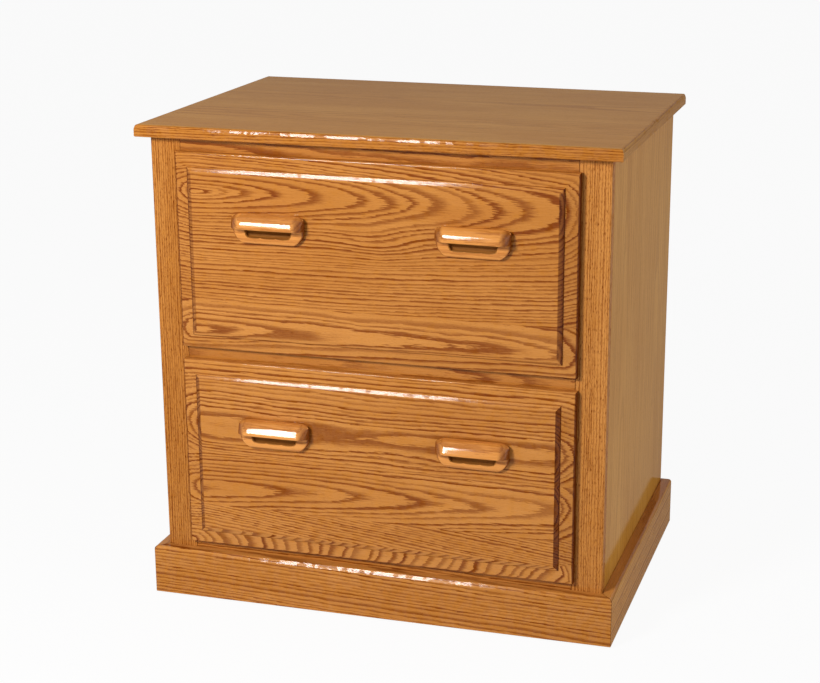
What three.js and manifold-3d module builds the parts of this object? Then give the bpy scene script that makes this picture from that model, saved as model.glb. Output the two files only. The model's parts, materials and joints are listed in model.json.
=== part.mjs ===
// Lateral filing cabinet in oak: a face-framed case with an overhanging top and a mitred plinth,
// and two raised-panel file drawers on full-extension slides. Millimetres, +Z up, +Y towards
// the back. The origin is on the floor, under the middle of the whole cabinet.
import * as THREE from 'three';
import { mergeVertices } from 'three/addons/utils/BufferGeometryUtils.js';
import Module from 'manifold-3d';

// Case and top
const caseWidth = 724;
const caseDepth = 523;
const sideThickness = 18;
const backThickness = 6;
const bottomThickness = 18;
const dadoDepth = 6;
const rabbetDepth = 8;
const topThickness = 19;
const topOverhang = 19;
const topRearOverhang = 8;
const topRoundover = 6;
const topEase = 2;
const cleatWidth = 60;
const cleatThickness = 18;

// Face frame
const frameThickness = 19;
const stileWidth = 48.5;
const bottomRailWidth = 60;

// Plinth, its corner blocks and the glides that the cabinet stands on
const plinthHeight = 80;
const plinthThickness = 19;
const plinthRoundover = 5;
const blockWidth = 45;
const glideRadius = 12;
const glideHeight = 6;
const glideProud = 3;
const glideRoundover = 2;

// Drawer fronts: a thin outer edge, a shallow bevel and a rounded step up to the raised field
const frontHeight = 310.5;
const frontOverlay = 4.5;
const frontGap = 20.5;
const topReveal = 20.5;
const plinthReveal = 14;
const frontEdge = 11.5;
const frontEase = 3;
const bevelWidth = 22.5;
const bevelThickness = 14.5;
const stepWidth = 7.5;
const fieldThickness = 19.5;

// Drawer boxes and the bars that hanging folders hook on
const boxThickness = 15;
const boxRoomBelow = 16;
const boxRoomAbove = 26;
const boxBottomThickness = 6;
const boxBottomRise = 12;
const grooveDepth = 6;
const fileRailThickness = 3;
const fileRailHeight = 20;
const fileRailProud = 6;
const fileRailInset = 40;
const notchDepth = 9;

// Slides: three nested channels on each side of a drawer
const slideThickness = 12.7;
const slideHeight = 45;
const slideWall = 1.2;
const slideRise = 110;
const slideSetback = 2;
const slideRearRoom = 15;
const middleSlideShorter = 5;
const spacerHeight = 70;

// Pulls: a plate with a half-round bar along its upper edge and a finger slot under the bar
const pullWidth = 116;
const pullHeight = 46.5;
const pullPlate = 9;
const pullCorner = 17;
const pullProjection = 25;
const barHeight = 22;
const slotWidth = 77;
const slotRise = 11;
const slotWall = 7.5;
const barWall = 9;
const slotCorner = 8;
const pullDrop = 110;
const pullSpacing = 323;

// Clearances
const glueLine = 0.2;
const mitreGap = 0.15;
const panelFit = 0.3;
const closingGap = 0.5;
const runningGap = 0.5;

// Levels above the floor
const caseFoot = glideProud;
const plinthTop = caseFoot + plinthHeight;
const bottomLow = plinthTop - bottomThickness;
const lowerFrontLow = plinthTop + plinthReveal;
const upperFrontLow = lowerFrontLow + frontHeight + frontGap;
const caseTop = upperFrontLow + frontHeight + topReveal;

// Distances from the middle of the cabinet to the right
const caseHalf = caseWidth / 2;
const sideInner = caseHalf - sideThickness;
const openingHalf = caseHalf - stileWidth;
const frontHalf = openingHalf + frontOverlay;
const slideHalf = openingHalf - glueLine;
const boxHalf = slideHalf - slideThickness - glueLine;
const boxInner = boxHalf - boxThickness;

// Distances behind the front of the face frame
const frameBack = frameThickness + glueLine;
const backInner = caseDepth - backThickness;
const slideBack = backInner - slideRearRoom;
const frontBack = -closingGap;
const fieldFace = frontBack - fieldThickness;
const pullBack = fieldFace - glueLine;

const curveSteps = 4;
const slack = 1;

const wasm = await Module();
wasm.setup();

const finishes = {
  oak: { color: 0xc8853f, roughness: 0.32, metalness: 0 },
  veneer: { color: 0xb98a52, roughness: 0.34, metalness: 0 },
  plywood: { color: 0xd2b083, roughness: 0.6, metalness: 0 },
  maple: { color: 0xdcbb8c, roughness: 0.45, metalness: 0 },
  steel: { color: 0xb4b7ba, roughness: 0.35, metalness: 1 },
  nylon: { color: 0xe6e1d6, roughness: 0.5, metalness: 0 },
};

function addPiece(group, name, finish, geometry) {
  const piece = new THREE.Mesh(geometry, new THREE.MeshStandardMaterial(finishes[finish]));
  piece.name = name;
  group.add(piece);
}

// A board between two distances on each axis.
function board([left, right], [front, back], [low, high]) {
  const shape = new THREE.BoxGeometry(right - left, back - front, high - low);
  return shape.translate((left + right) / 2, (front + back) / 2, (low + high) / 2);
}

function positionsOnly(geometry) {
  const bare = geometry.clone();
  bare.deleteAttribute('normal');
  bare.deleteAttribute('uv');
  return mergeVertices(bare);
}

function solidOf(geometry) {
  const bare = positionsOnly(geometry);
  return new wasm.Manifold(new wasm.Mesh({
    numProp: 3,
    vertProperties: Float32Array.from(bare.attributes.position.array),
    triVerts: Uint32Array.from(bare.index.array),
  }));
}

function geometryOf(solid) {
  const { vertProperties, triVerts } = solid.getMesh();
  const geometry = new THREE.BufferGeometry();
  geometry.setAttribute('position', new THREE.BufferAttribute(vertProperties, 3));
  geometry.setIndex(new THREE.BufferAttribute(triVerts, 1));
  return geometry;
}

function cut(geometry, ...cutters) {
  return geometryOf(cutters.reduce((solid, cutter) => solid.subtract(solidOf(cutter)), solidOf(geometry)));
}

// The same shape on the left of the cabinet, with its faces turned to point out again.
function mirrored(geometry) {
  const copy = positionsOnly(geometry).scale(-1, 1, 1);
  const order = copy.index.array;
  for (let first = 0; first < order.length; first += 3) {
    [order[first], order[first + 1]] = [order[first + 1], order[first]];
  }
  return copy;
}

// Adds a piece drawn for the right, and its mirror image on the left.
function addPair(group, nameOf, finish, geometry) {
  addPiece(group, nameOf('left'), finish, mirrored(geometry));
  addPiece(group, nameOf('right'), finish, geometry);
}

function outline(points) {
  return new THREE.Shape(points.map(([across, up]) => new THREE.Vector2(across, up)));
}

// An outline drawn across X and Z, extruded from front to back.
function alongDepth(shape, front, back) {
  const extruded = new THREE.ExtrudeGeometry(shape, { depth: back - front, bevelEnabled: false });
  return extruded.rotateX(Math.PI / 2).translate(0, back, 0);
}

// A rectangle with round corners, from its left, bottom, width, height and corner radius.
function roundedRectangle(left, low, width, height, corner) {
  const right = left + width;
  const high = low + height;
  const shape = new THREE.Shape();
  shape.moveTo(left + corner, low);
  shape.absarc(right - corner, low + corner, corner, -Math.PI / 2, 0, false);
  shape.absarc(right - corner, high - corner, corner, 0, Math.PI / 2, false);
  shape.absarc(left + corner, high - corner, corner, Math.PI / 2, Math.PI, false);
  shape.absarc(left + corner, low + corner, corner, Math.PI, Math.PI * 1.5, false);
  return shape;
}

// Inset and rise along a quarter-round, from the side of an edge to its top.
function quarterRound(width, rise) {
  return Array.from({ length: curveSteps + 1 }, (_, step) => {
    const turn = (Math.PI / 2) * (step / curveSteps);
    return [width * (1 - Math.cos(turn)), rise * Math.sin(turn)];
  });
}

// A slab through rectangles stacked upwards, each given as its x and y ranges and its height.
function stackedSlab(sections) {
  const corners = sections.flatMap(({ x, y, z }) => [
    x[0], y[0], z,
    x[1], y[0], z,
    x[1], y[1], z,
    x[0], y[1], z,
  ]);
  const faces = [0, 2, 1, 0, 3, 2];
  for (let ring = 0; ring + 1 < sections.length; ring += 1) {
    for (let side = 0; side < 4; side += 1) {
      const here = 4 * ring + side;
      const next = 4 * ring + ((side + 1) % 4);
      faces.push(here, next, next + 4, here, next + 4, here + 4);
    }
  }
  const lid = 4 * (sections.length - 1);
  faces.push(lid, lid + 1, lid + 2, lid, lid + 2, lid + 3);
  const geometry = new THREE.BufferGeometry();
  geometry.setAttribute('position', new THREE.Float32BufferAttribute(corners, 3));
  geometry.setIndex(faces);
  return geometry;
}

// The top, rounded over along its front and ends and square along its back.
function topPanel() {
  const half = caseHalf + topOverhang;
  const back = caseDepth + topRearOverhang;
  const underside = caseTop + glueLine;
  const eased = quarterRound(topEase, topEase).reverse();
  const rounded = quarterRound(topRoundover, topRoundover);
  const edge = [
    ...eased.map(([inset, rise]) => [inset, topEase - rise]),
    ...rounded.map(([inset, rise]) => [inset, topThickness - topRoundover + rise]),
  ];
  return stackedSlab(edge.map(([inset, rise]) => ({
    x: [inset - half, half - inset],
    y: [inset - topOverhang, back],
    z: underside + rise,
  })));
}

// A side with a dado for the bottom and a rabbet for the back.
function sidePanel() {
  const panel = board([sideInner, caseHalf], [frameBack, caseDepth], [caseFoot, caseTop]);
  const dado = board(
    [sideInner - slack, sideInner + dadoDepth],
    [frameBack - slack, backInner],
    [bottomLow - panelFit, plinthTop + panelFit],
  );
  const rabbet = board(
    [sideInner - slack, sideInner + rabbetDepth],
    [backInner, caseDepth + slack],
    [bottomLow - panelFit, caseTop + slack],
  );
  return cut(panel, dado, rabbet);
}

// The section of a plinth board: how far it stands out, and its height.
function plinthSection() {
  const round = quarterRound(plinthRoundover, plinthRoundover).map(([inset, rise]) => [
    plinthThickness - inset,
    plinthTop - plinthRoundover + rise,
  ]);
  return outline([[0, caseFoot], [plinthThickness, caseFoot], ...round, [0, plinthTop]]);
}

// A plinth board as a unit length, whose points are then put in place by its two ends.
function plinthBoard(place) {
  const geometry = new THREE.ExtrudeGeometry(plinthSection(), { depth: 1, bevelEnabled: false });
  const points = geometry.attributes.position;
  for (let index = 0; index < points.count; index += 1) {
    points.setXYZ(index, ...place(points.getX(index), points.getY(index), points.getZ(index)));
  }
  return geometry;
}

// The front board, mitred at both ends.
function frontPlinth() {
  return plinthBoard((out, height, end) => {
    const reach = caseHalf + glueLine + out - mitreGap;
    return [end > 0.5 ? -reach : reach, -glueLine - out, height];
  });
}

// The right board, mitred at the front and square at the back.
function rightPlinth() {
  return plinthBoard((out, height, end) => {
    const mitre = mitreGap - glueLine - out;
    return [caseHalf + glueLine + out, end > 0.5 ? mitre : caseDepth, height];
  });
}

function glide(across, depth) {
  const round = quarterRound(glideRoundover, glideRoundover).map(([inset, rise]) => [
    glideRadius - glideRoundover + rise,
    inset,
  ]);
  const profile = [[0, 0], ...round, [glideRadius, glideHeight], [0, glideHeight]];
  const turned = new THREE.LatheGeometry(outline(profile).getPoints(), 24);
  return turned.rotateX(Math.PI / 2).translate(across, depth, 0);
}

function addCase(group) {
  const between = [glueLine - sideInner, sideInner - glueLine];
  const opening = [glueLine - openingHalf, openingHalf - glueLine];
  const frame = [0, frameThickness];
  const caseHeight = [caseFoot, caseTop];
  const cleatLevel = [caseTop - cleatThickness, caseTop];
  const backReach = sideInner + rabbetDepth - panelFit;
  const bottomReach = sideInner + dadoDepth - panelFit;

  addPiece(group, 'top_panel', 'veneer', topPanel());
  addPair(group, (side) => `${side}_side_panel`, 'veneer', sidePanel());
  addPiece(group, 'back_panel', 'plywood',
    board([-backReach, backReach], [backInner + panelFit, caseDepth], [bottomLow, caseTop]));
  addPiece(group, 'bottom_panel', 'plywood',
    board([-bottomReach, bottomReach], [frameBack, backInner - panelFit], [bottomLow, plinthTop]));

  addPair(group, (side) => `${side}_stile`, 'oak', board([openingHalf, caseHalf], frame, caseHeight));
  const upperOpeningHigh = upperFrontLow + frontHeight - frontOverlay;
  const lowerOpeningHigh = lowerFrontLow + frontHeight - frontOverlay;
  const bottomRailHigh = lowerFrontLow + frontOverlay;
  addPiece(group, 'top_rail', 'oak', board(opening, frame, [upperOpeningHigh, caseTop]));
  addPiece(group, 'middle_rail', 'oak',
    board(opening, frame, [lowerOpeningHigh, upperFrontLow + frontOverlay]));
  addPiece(group, 'bottom_rail', 'oak',
    board(opening, frame, [bottomRailHigh - bottomRailWidth, bottomRailHigh]));

  addPiece(group, 'front_top_cleat', 'maple',
    board(between, [frameBack, frameBack + cleatWidth], cleatLevel));
  addPiece(group, 'rear_top_cleat', 'maple',
    board(between, [backInner - cleatWidth, backInner - glueLine], cleatLevel));
}

function addBase(group) {
  const between = [glueLine - sideInner, sideInner - glueLine];
  const rearFace = caseDepth - plinthThickness;
  addPiece(group, 'front_plinth', 'oak', frontPlinth());
  addPair(group, (side) => `${side}_plinth`, 'oak', rightPlinth());
  addPiece(group, 'rear_plinth', 'oak',
    board(between, [rearFace, caseDepth], [caseFoot, bottomLow - panelFit]));

  const blockHigh = sideInner - glueLine;
  const blockAcross = [blockHigh - blockWidth, blockHigh];
  const blockLevel = [glideHeight + glueLine, bottomLow - panelFit];
  const blockFronts = { front: frameBack, rear: rearFace - glueLine - blockWidth };
  for (const [end, blockFront] of Object.entries(blockFronts)) {
    const block = board(blockAcross, [blockFront, blockFront + blockWidth], blockLevel);
    const middle = blockFront + blockWidth / 2;
    addPair(group, (side) => `${end}_${side}_corner_block`, 'maple', block);
    addPair(group, (side) => `${end}_${side}_glide`, 'nylon', glide(blockHigh - blockWidth / 2, middle));
  }
}

// A channel lying between two distances from the case side of a slide. Its web is on the case
// side, or on the drawer side if it opens the other way.
function channel(near, far, half, level, webOnDrawer) {
  const web = webOnDrawer ? far - slideWall : near + slideWall;
  const [shut, open] = webOnDrawer ? [far, near] : [near, far];
  const lip = half - slideWall;
  const section = [[shut, -half], [open, -half], [open, -lip], [web, -lip],
    [web, lip], [open, lip], [open, half], [shut, half]];
  return outline(section.map(([out, up]) => [slideHalf - out, level + up]));
}

// The three members of a slide on the right, from the case inwards.
function slideMembers(level) {
  const outerHalf = slideHeight / 2;
  const middleHalf = outerHalf - slideWall - runningGap;
  const innerHalf = middleHalf - slideWall - runningGap;
  const middleNear = slideWall + runningGap;
  const innerNear = middleNear + slideWall + runningGap;
  const lipEnd = slideThickness - slideWall - runningGap;
  const middleEnds = [slideSetback + middleSlideShorter, slideBack - middleSlideShorter];
  return {
    outer: alongDepth(channel(0, lipEnd, outerHalf, level, false), slideSetback, slideBack),
    middle: alongDepth(channel(middleNear, lipEnd, middleHalf, level, false), ...middleEnds),
    inner: alongDepth(channel(innerNear, slideThickness, innerHalf, level, true), slideSetback, slideBack),
  };
}

// A drawer front: edge, bevel and step on all four sides, drawn flat and then stood upright.
function drawerFront(low) {
  const eased = quarterRound(frontEase, frontEase).map(([inset, rise]) => [
    inset,
    frontEdge - frontEase + rise,
  ]);
  const step = quarterRound(stepWidth, fieldThickness - bevelThickness).map(([inset, rise]) => [
    bevelWidth + inset,
    bevelThickness + rise,
  ]);
  const profile = [[0, 0], ...eased, ...step];
  const slab = stackedSlab(profile.map(([inset, out]) => ({
    x: [inset - frontHalf, frontHalf - inset],
    y: [low + inset, low + frontHeight - inset],
    z: out,
  })));
  return slab.rotateX(Math.PI / 2).translate(0, frontBack, 0);
}

// A pull, drawn with its back on the drawer front and its lower edge at the given height.
function pull(across, low) {
  const barRadius = barHeight / 2;
  const barLevel = pullHeight - barRadius;
  const plate = new THREE.ExtrudeGeometry(
    roundedRectangle(-pullWidth / 2, 0, pullWidth, pullHeight, pullCorner),
    { depth: pullPlate, bevelEnabled: false, curveSegments: 6 },
  );
  const bar = new THREE.CapsuleGeometry(barRadius, pullWidth - barHeight, 5, 20)
    .rotateZ(Math.PI / 2)
    .scale(1, 1, pullProjection / barRadius)
    .translate(0, barLevel, 0);
  const frontHalfSpace = board(
    [-pullWidth, pullWidth],
    [-pullHeight, 2 * pullHeight],
    [0, pullProjection + slack],
  );
  const slotHeight = pullHeight - slotRise - slotWall;
  const hollow = new THREE.ExtrudeGeometry(
    roundedRectangle(-slotWidth / 2, slotRise, slotWidth, slotHeight, slotCorner),
    { depth: pullProjection - barWall + slack, bevelEnabled: false, curveSegments: 5 },
  ).translate(0, 0, -slack);
  const body = solidOf(plate).add(solidOf(bar).intersect(solidOf(frontHalfSpace)));
  const shape = geometryOf(body.subtract(solidOf(hollow)));
  return shape.rotateX(Math.PI / 2).translate(across, pullBack, low);
}

// A box side with a groove for the bottom and a blind notch for each file rail.
function boxSide(low, high, ends, railPlaces) {
  const side = board([boxInner, boxHalf], ends, [low, high]);
  const grooveLevel = [low + boxBottomRise - panelFit, low + boxBottomRise + boxBottomThickness + panelFit];
  const groove = board(
    [boxInner - slack, boxInner + grooveDepth],
    [ends[0] - slack, ends[1] + slack],
    grooveLevel,
  );
  const notchLevel = [high + fileRailProud - fileRailHeight - panelFit, high + slack];
  const notches = railPlaces.map((place) => board(
    [boxInner - slack, boxInner + notchDepth],
    [place - panelFit, place + fileRailThickness + panelFit],
    notchLevel,
  ));
  return cut(side, groove, ...notches);
}

// A box front or back, grooved on its inside face for the bottom.
function boxEnd(low, high, front, grooveFront) {
  const between = [glueLine - boxInner, boxInner - glueLine];
  const grooveLevel = [low + boxBottomRise - panelFit, low + boxBottomRise + boxBottomThickness + panelFit];
  return cut(
    board(between, [front, front + boxThickness], [low, high]),
    board([-boxHalf, boxHalf], [grooveFront, grooveFront + grooveDepth + slack], grooveLevel),
  );
}

function addDrawer(group, drawer, frontLow) {
  const low = frontLow + frontOverlay + boxRoomBelow;
  const high = frontLow + frontHeight - frontOverlay - boxRoomAbove;
  const boxFace = frontBack + glueLine;
  const innerFront = boxFace + boxThickness;
  const innerBack = slideBack - boxThickness;
  const railPlaces = [innerFront + fileRailInset, innerBack - fileRailInset - fileRailThickness];

  addPiece(group, `${drawer}_drawer_front`, 'oak', drawerFront(frontLow));
  addPair(group, (side) => `${drawer}_box_${side}`, 'maple',
    boxSide(low, high, [boxFace, slideBack], railPlaces));
  addPiece(group, `${drawer}_box_front`, 'maple', boxEnd(low, high, boxFace, innerFront - grooveDepth));
  addPiece(group, `${drawer}_box_back`, 'maple', boxEnd(low, high, innerBack, innerBack - slack));

  const bottomReach = grooveDepth - panelFit;
  addPiece(group, `${drawer}_box_bottom`, 'plywood', board(
    [-boxInner - bottomReach, boxInner + bottomReach],
    [innerFront - bottomReach, innerBack + bottomReach],
    [low + boxBottomRise, low + boxBottomRise + boxBottomThickness],
  ));

  const railReach = boxInner + notchDepth - panelFit;
  const railLevel = [high + fileRailProud - fileRailHeight, high + fileRailProud];
  ['front', 'rear'].forEach((end, index) => {
    const place = railPlaces[index];
    addPiece(group, `${drawer}_${end}_file_rail`, 'steel',
      board([-railReach, railReach], [place, place + fileRailThickness], railLevel));
  });

  const pullLow = frontLow + frontHeight - pullDrop - pullHeight / 2;
  addPiece(group, `${drawer}_left_pull`, 'oak', pull(-pullSpacing / 2, pullLow));
  addPiece(group, `${drawer}_right_pull`, 'oak', pull(pullSpacing / 2, pullLow));

  const slideLevel = low + slideRise;
  const spacer = board(
    [openingHalf, sideInner - glueLine],
    [frameBack, slideBack],
    [slideLevel - spacerHeight / 2, slideLevel + spacerHeight / 2],
  );
  addPair(group, (side) => `${drawer}_${side}_slide_spacer`, 'maple', spacer);
  for (const [member, shape] of Object.entries(slideMembers(slideLevel))) {
    addPair(group, (side) => `${drawer}_${side}_${member}_slide`, 'steel', shape);
  }
}

const cabinet = new THREE.Group();
addCase(cabinet);
addBase(cabinet);
addDrawer(cabinet, 'upper', upperFrontLow);
addDrawer(cabinet, 'lower', lowerFrontLow);

// The pulls reach furthest forward and the top furthest back: the origin is halfway between.
cabinet.position.y = -(pullBack - pullProjection + caseDepth + topRearOverhang) / 2;

export default cabinet;
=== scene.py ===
import json
import math

import bmesh
import bpy
from mathutils import Matrix, Vector

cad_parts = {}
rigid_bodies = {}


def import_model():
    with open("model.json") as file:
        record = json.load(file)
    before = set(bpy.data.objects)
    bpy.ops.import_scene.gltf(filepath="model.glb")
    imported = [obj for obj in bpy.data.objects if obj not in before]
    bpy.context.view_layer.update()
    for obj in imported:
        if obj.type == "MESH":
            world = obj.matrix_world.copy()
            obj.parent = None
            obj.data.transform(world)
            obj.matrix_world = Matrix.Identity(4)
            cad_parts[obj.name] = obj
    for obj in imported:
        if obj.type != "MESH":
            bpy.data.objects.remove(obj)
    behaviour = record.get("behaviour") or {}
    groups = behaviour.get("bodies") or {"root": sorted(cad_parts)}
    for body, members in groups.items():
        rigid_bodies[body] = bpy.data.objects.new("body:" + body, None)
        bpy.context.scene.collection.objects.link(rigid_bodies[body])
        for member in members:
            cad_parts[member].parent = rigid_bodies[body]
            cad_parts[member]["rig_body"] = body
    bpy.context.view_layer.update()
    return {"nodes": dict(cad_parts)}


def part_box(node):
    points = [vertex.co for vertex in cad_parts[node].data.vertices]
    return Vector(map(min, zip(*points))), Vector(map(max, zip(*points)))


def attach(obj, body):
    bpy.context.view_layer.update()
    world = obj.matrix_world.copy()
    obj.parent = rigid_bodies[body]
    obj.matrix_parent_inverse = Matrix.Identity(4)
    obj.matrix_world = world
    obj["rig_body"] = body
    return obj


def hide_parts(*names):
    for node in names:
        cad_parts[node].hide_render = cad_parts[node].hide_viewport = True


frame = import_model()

print("frame loaded,", len(frame["nodes"]), "nodes")


# Shader values: an expression on these adds its own Math nodes.
class Wire:
    def __init__(self, owner, socket):
        self.owner = owner
        self.socket = socket

    def output(self, name):
        return Wire(self.owner, self.socket.node.outputs[name])

    def math(self, operation, *others):
        sockets = dict(enumerate((self,) + others))
        return self.owner.add("ShaderNodeMath", {"operation": operation}, sockets)

    def __add__(self, other):
        return self.math("ADD", other)

    def __radd__(self, other):
        return self.math("ADD", other)

    def __sub__(self, other):
        return self.math("SUBTRACT", other)

    def __rsub__(self, other):
        return self.owner.add("ShaderNodeMath", {"operation": "SUBTRACT"}, {0: other, 1: self})

    def __mul__(self, other):
        return self.math("MULTIPLY", other)

    def __truediv__(self, other):
        return self.math("DIVIDE", other)

    def __pow__(self, other):
        return self.math("POWER", other)

    def __gt__(self, other):
        return self.math("GREATER_THAN", other)

    def __abs__(self):
        return self.math("ABSOLUTE")

    def ramp(self, low, high, start=0.0, end=1.0):  # smooth step from one level to another
        sockets = {0: self, 1: low, 2: high, 3: start, 4: end}
        return self.owner.add("ShaderNodeMapRange", {"interpolation_type": "SMOOTHSTEP"}, sockets)


# A node tree, and the one place that nodes are made.
class Tree:
    def __init__(self, tree):
        self.tree = tree

    def add(self, kind, settings, sockets, out=0):
        node = self.tree.nodes.new(kind)
        for name, value in settings.items():
            setattr(node, name, value)
        for name, value in sockets.items():
            self.join(value, node.inputs[name])
        return Wire(self, node.outputs[out])

    def join(self, value, socket):  # links a wire, or writes a fixed value
        if isinstance(value, Wire):
            self.tree.links.new(value.socket, socket)
        else:
            socket.default_value = value

    def seen(self):  # 1 where the camera sees it, directly or in a reflection
        direct = self.add("ShaderNodeLightPath", {}, {}, "Is Camera Ray")
        mirrored = direct.math("MAXIMUM", direct.output("Is Glossy Ray"))
        return mirrored.math("MAXIMUM", direct.output("Is Transmission Ray"))


# A material on a Principled shader
class Finish(Tree):
    def __init__(self, name, **levels):
        self.material = bpy.data.materials.new(name)
        self.material.use_nodes = True
        super().__init__(self.material.node_tree)
        self.shader = self.tree.nodes["Principled BSDF"]
        for socket, level in levels.items():
            self.set(socket, level)

    def set(self, socket, value):  # coatWeight sets Coat Weight
        words = "".join(" " + letter if letter.isupper() else letter for letter in socket)
        self.join(value, self.shader.inputs[words[0].upper() + words[1:].replace("I O R", "IOR")])

    def point(self, kind):  # Object is where the point lies, Normal is the way that it faces
        vector = self.add("ShaderNodeTexCoord", {}, {}, kind)
        along = self.add("ShaderNodeSeparateXYZ", {}, {0: vector}, "X")
        return {"x": along, "y": along.output("Y"), "z": along.output("Z")}

    def vector(self, x, y, z):
        return self.add("ShaderNodeCombineXYZ", {}, {0: x, 1: y, 2: z})

    def noise(self, x, y, z, detail=2.0, out="Fac"):
        sockets = {"Vector": self.vector(x, y, z), "Scale": 1.0, "Detail": detail}
        return self.add("ShaderNodeTexNoise", {}, sockets, out)

    def random(self, value):
        return self.add("ShaderNodeTexWhiteNoise", {"noise_dimensions": "1D"}, {"W": value}, "Value")

    def mix(self, factor, first, second, blend="MIX"):
        colours = [c if isinstance(c, Wire) else (*c, 1.0) for c in (first, second)]
        settings = {"data_type": "RGBA", "blend_type": blend}
        return self.add("ShaderNodeMix", settings, {0: factor, 6: colours[0], 7: colours[1]}, 2)

    def bump(self, height, strength, distance):
        sockets = {"Height": height, "Strength": strength, "Distance": distance}
        self.set("normal", self.add("ShaderNodeBump", {}, sockets))


# Oak: boards are cut from logs of tapered rings, so faces, bevels and ends all cut the same rings.
# A board starts at a place across the grain. Its pith lies at a place across the grain and some
# way ahead of the face; lean and dip are how the pith drifts across and ahead along the grain.
# Before its heart it drifts ahead again by tilt. Relief deepens the cut of the bevels.
# The figure gives how often each pattern changes in a metre, along the grain and across it.
figure = dict(
    wander=(2.6, 11.0),
    ripple=(11.0, 42.0),
    fibre=(34.0, 560.0),
    streak=(18.0, 1100.0),
    tick=(150.0, 1250.0),
    patch=(3.0, 16.0),
    brush=(75.0, 60.0),
)
yearly = dict(unevenEvery=42.0, uneven=3.2, start=0.07, fadeFrom=0.18, fadeTo=0.62, weakest=0.45)
poreLook = dict(start=0.56, full=0.70, inRings=0.75, dark=0.8)
toneShare = dict(patch=0.55, streak=0.45)
plyLook = dict(start=0.44, full=0.56, layer=0.6, least=0.15)
varnishLook = dict(roughness=0.34, inPores=0.25, inRings=0.06, poreLoss=0.6, gapEdge=0.10)
woodRelief = dict(rings=0.35, strength=0.25, depth=0.0004)
oakTones = dict(
    light=(0.600, 0.252, 0.058),
    pale=(0.480, 0.178, 0.029),
    dark=(0.245, 0.058, 0.003),
    deep=(0.185, 0.036, 0.002),
    pore=(0.165, 0.032, 0.002),
    # the end colour darkens end grain, and also paints shade on faces turned away from the key light
    endShade=(0.27, 0.15, 0.08),
)


# Lighter and darker copies of the oak: painted sheen on the pulls, painted shade in their slots.
def litOrShadedTones(share):  # the same oak, lighter or darker
    tones = {part: tuple(share * level for level in colour) for part, colour in oakTones.items()}
    return dict(tones, endShade=oakTones["endShade"])


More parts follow.
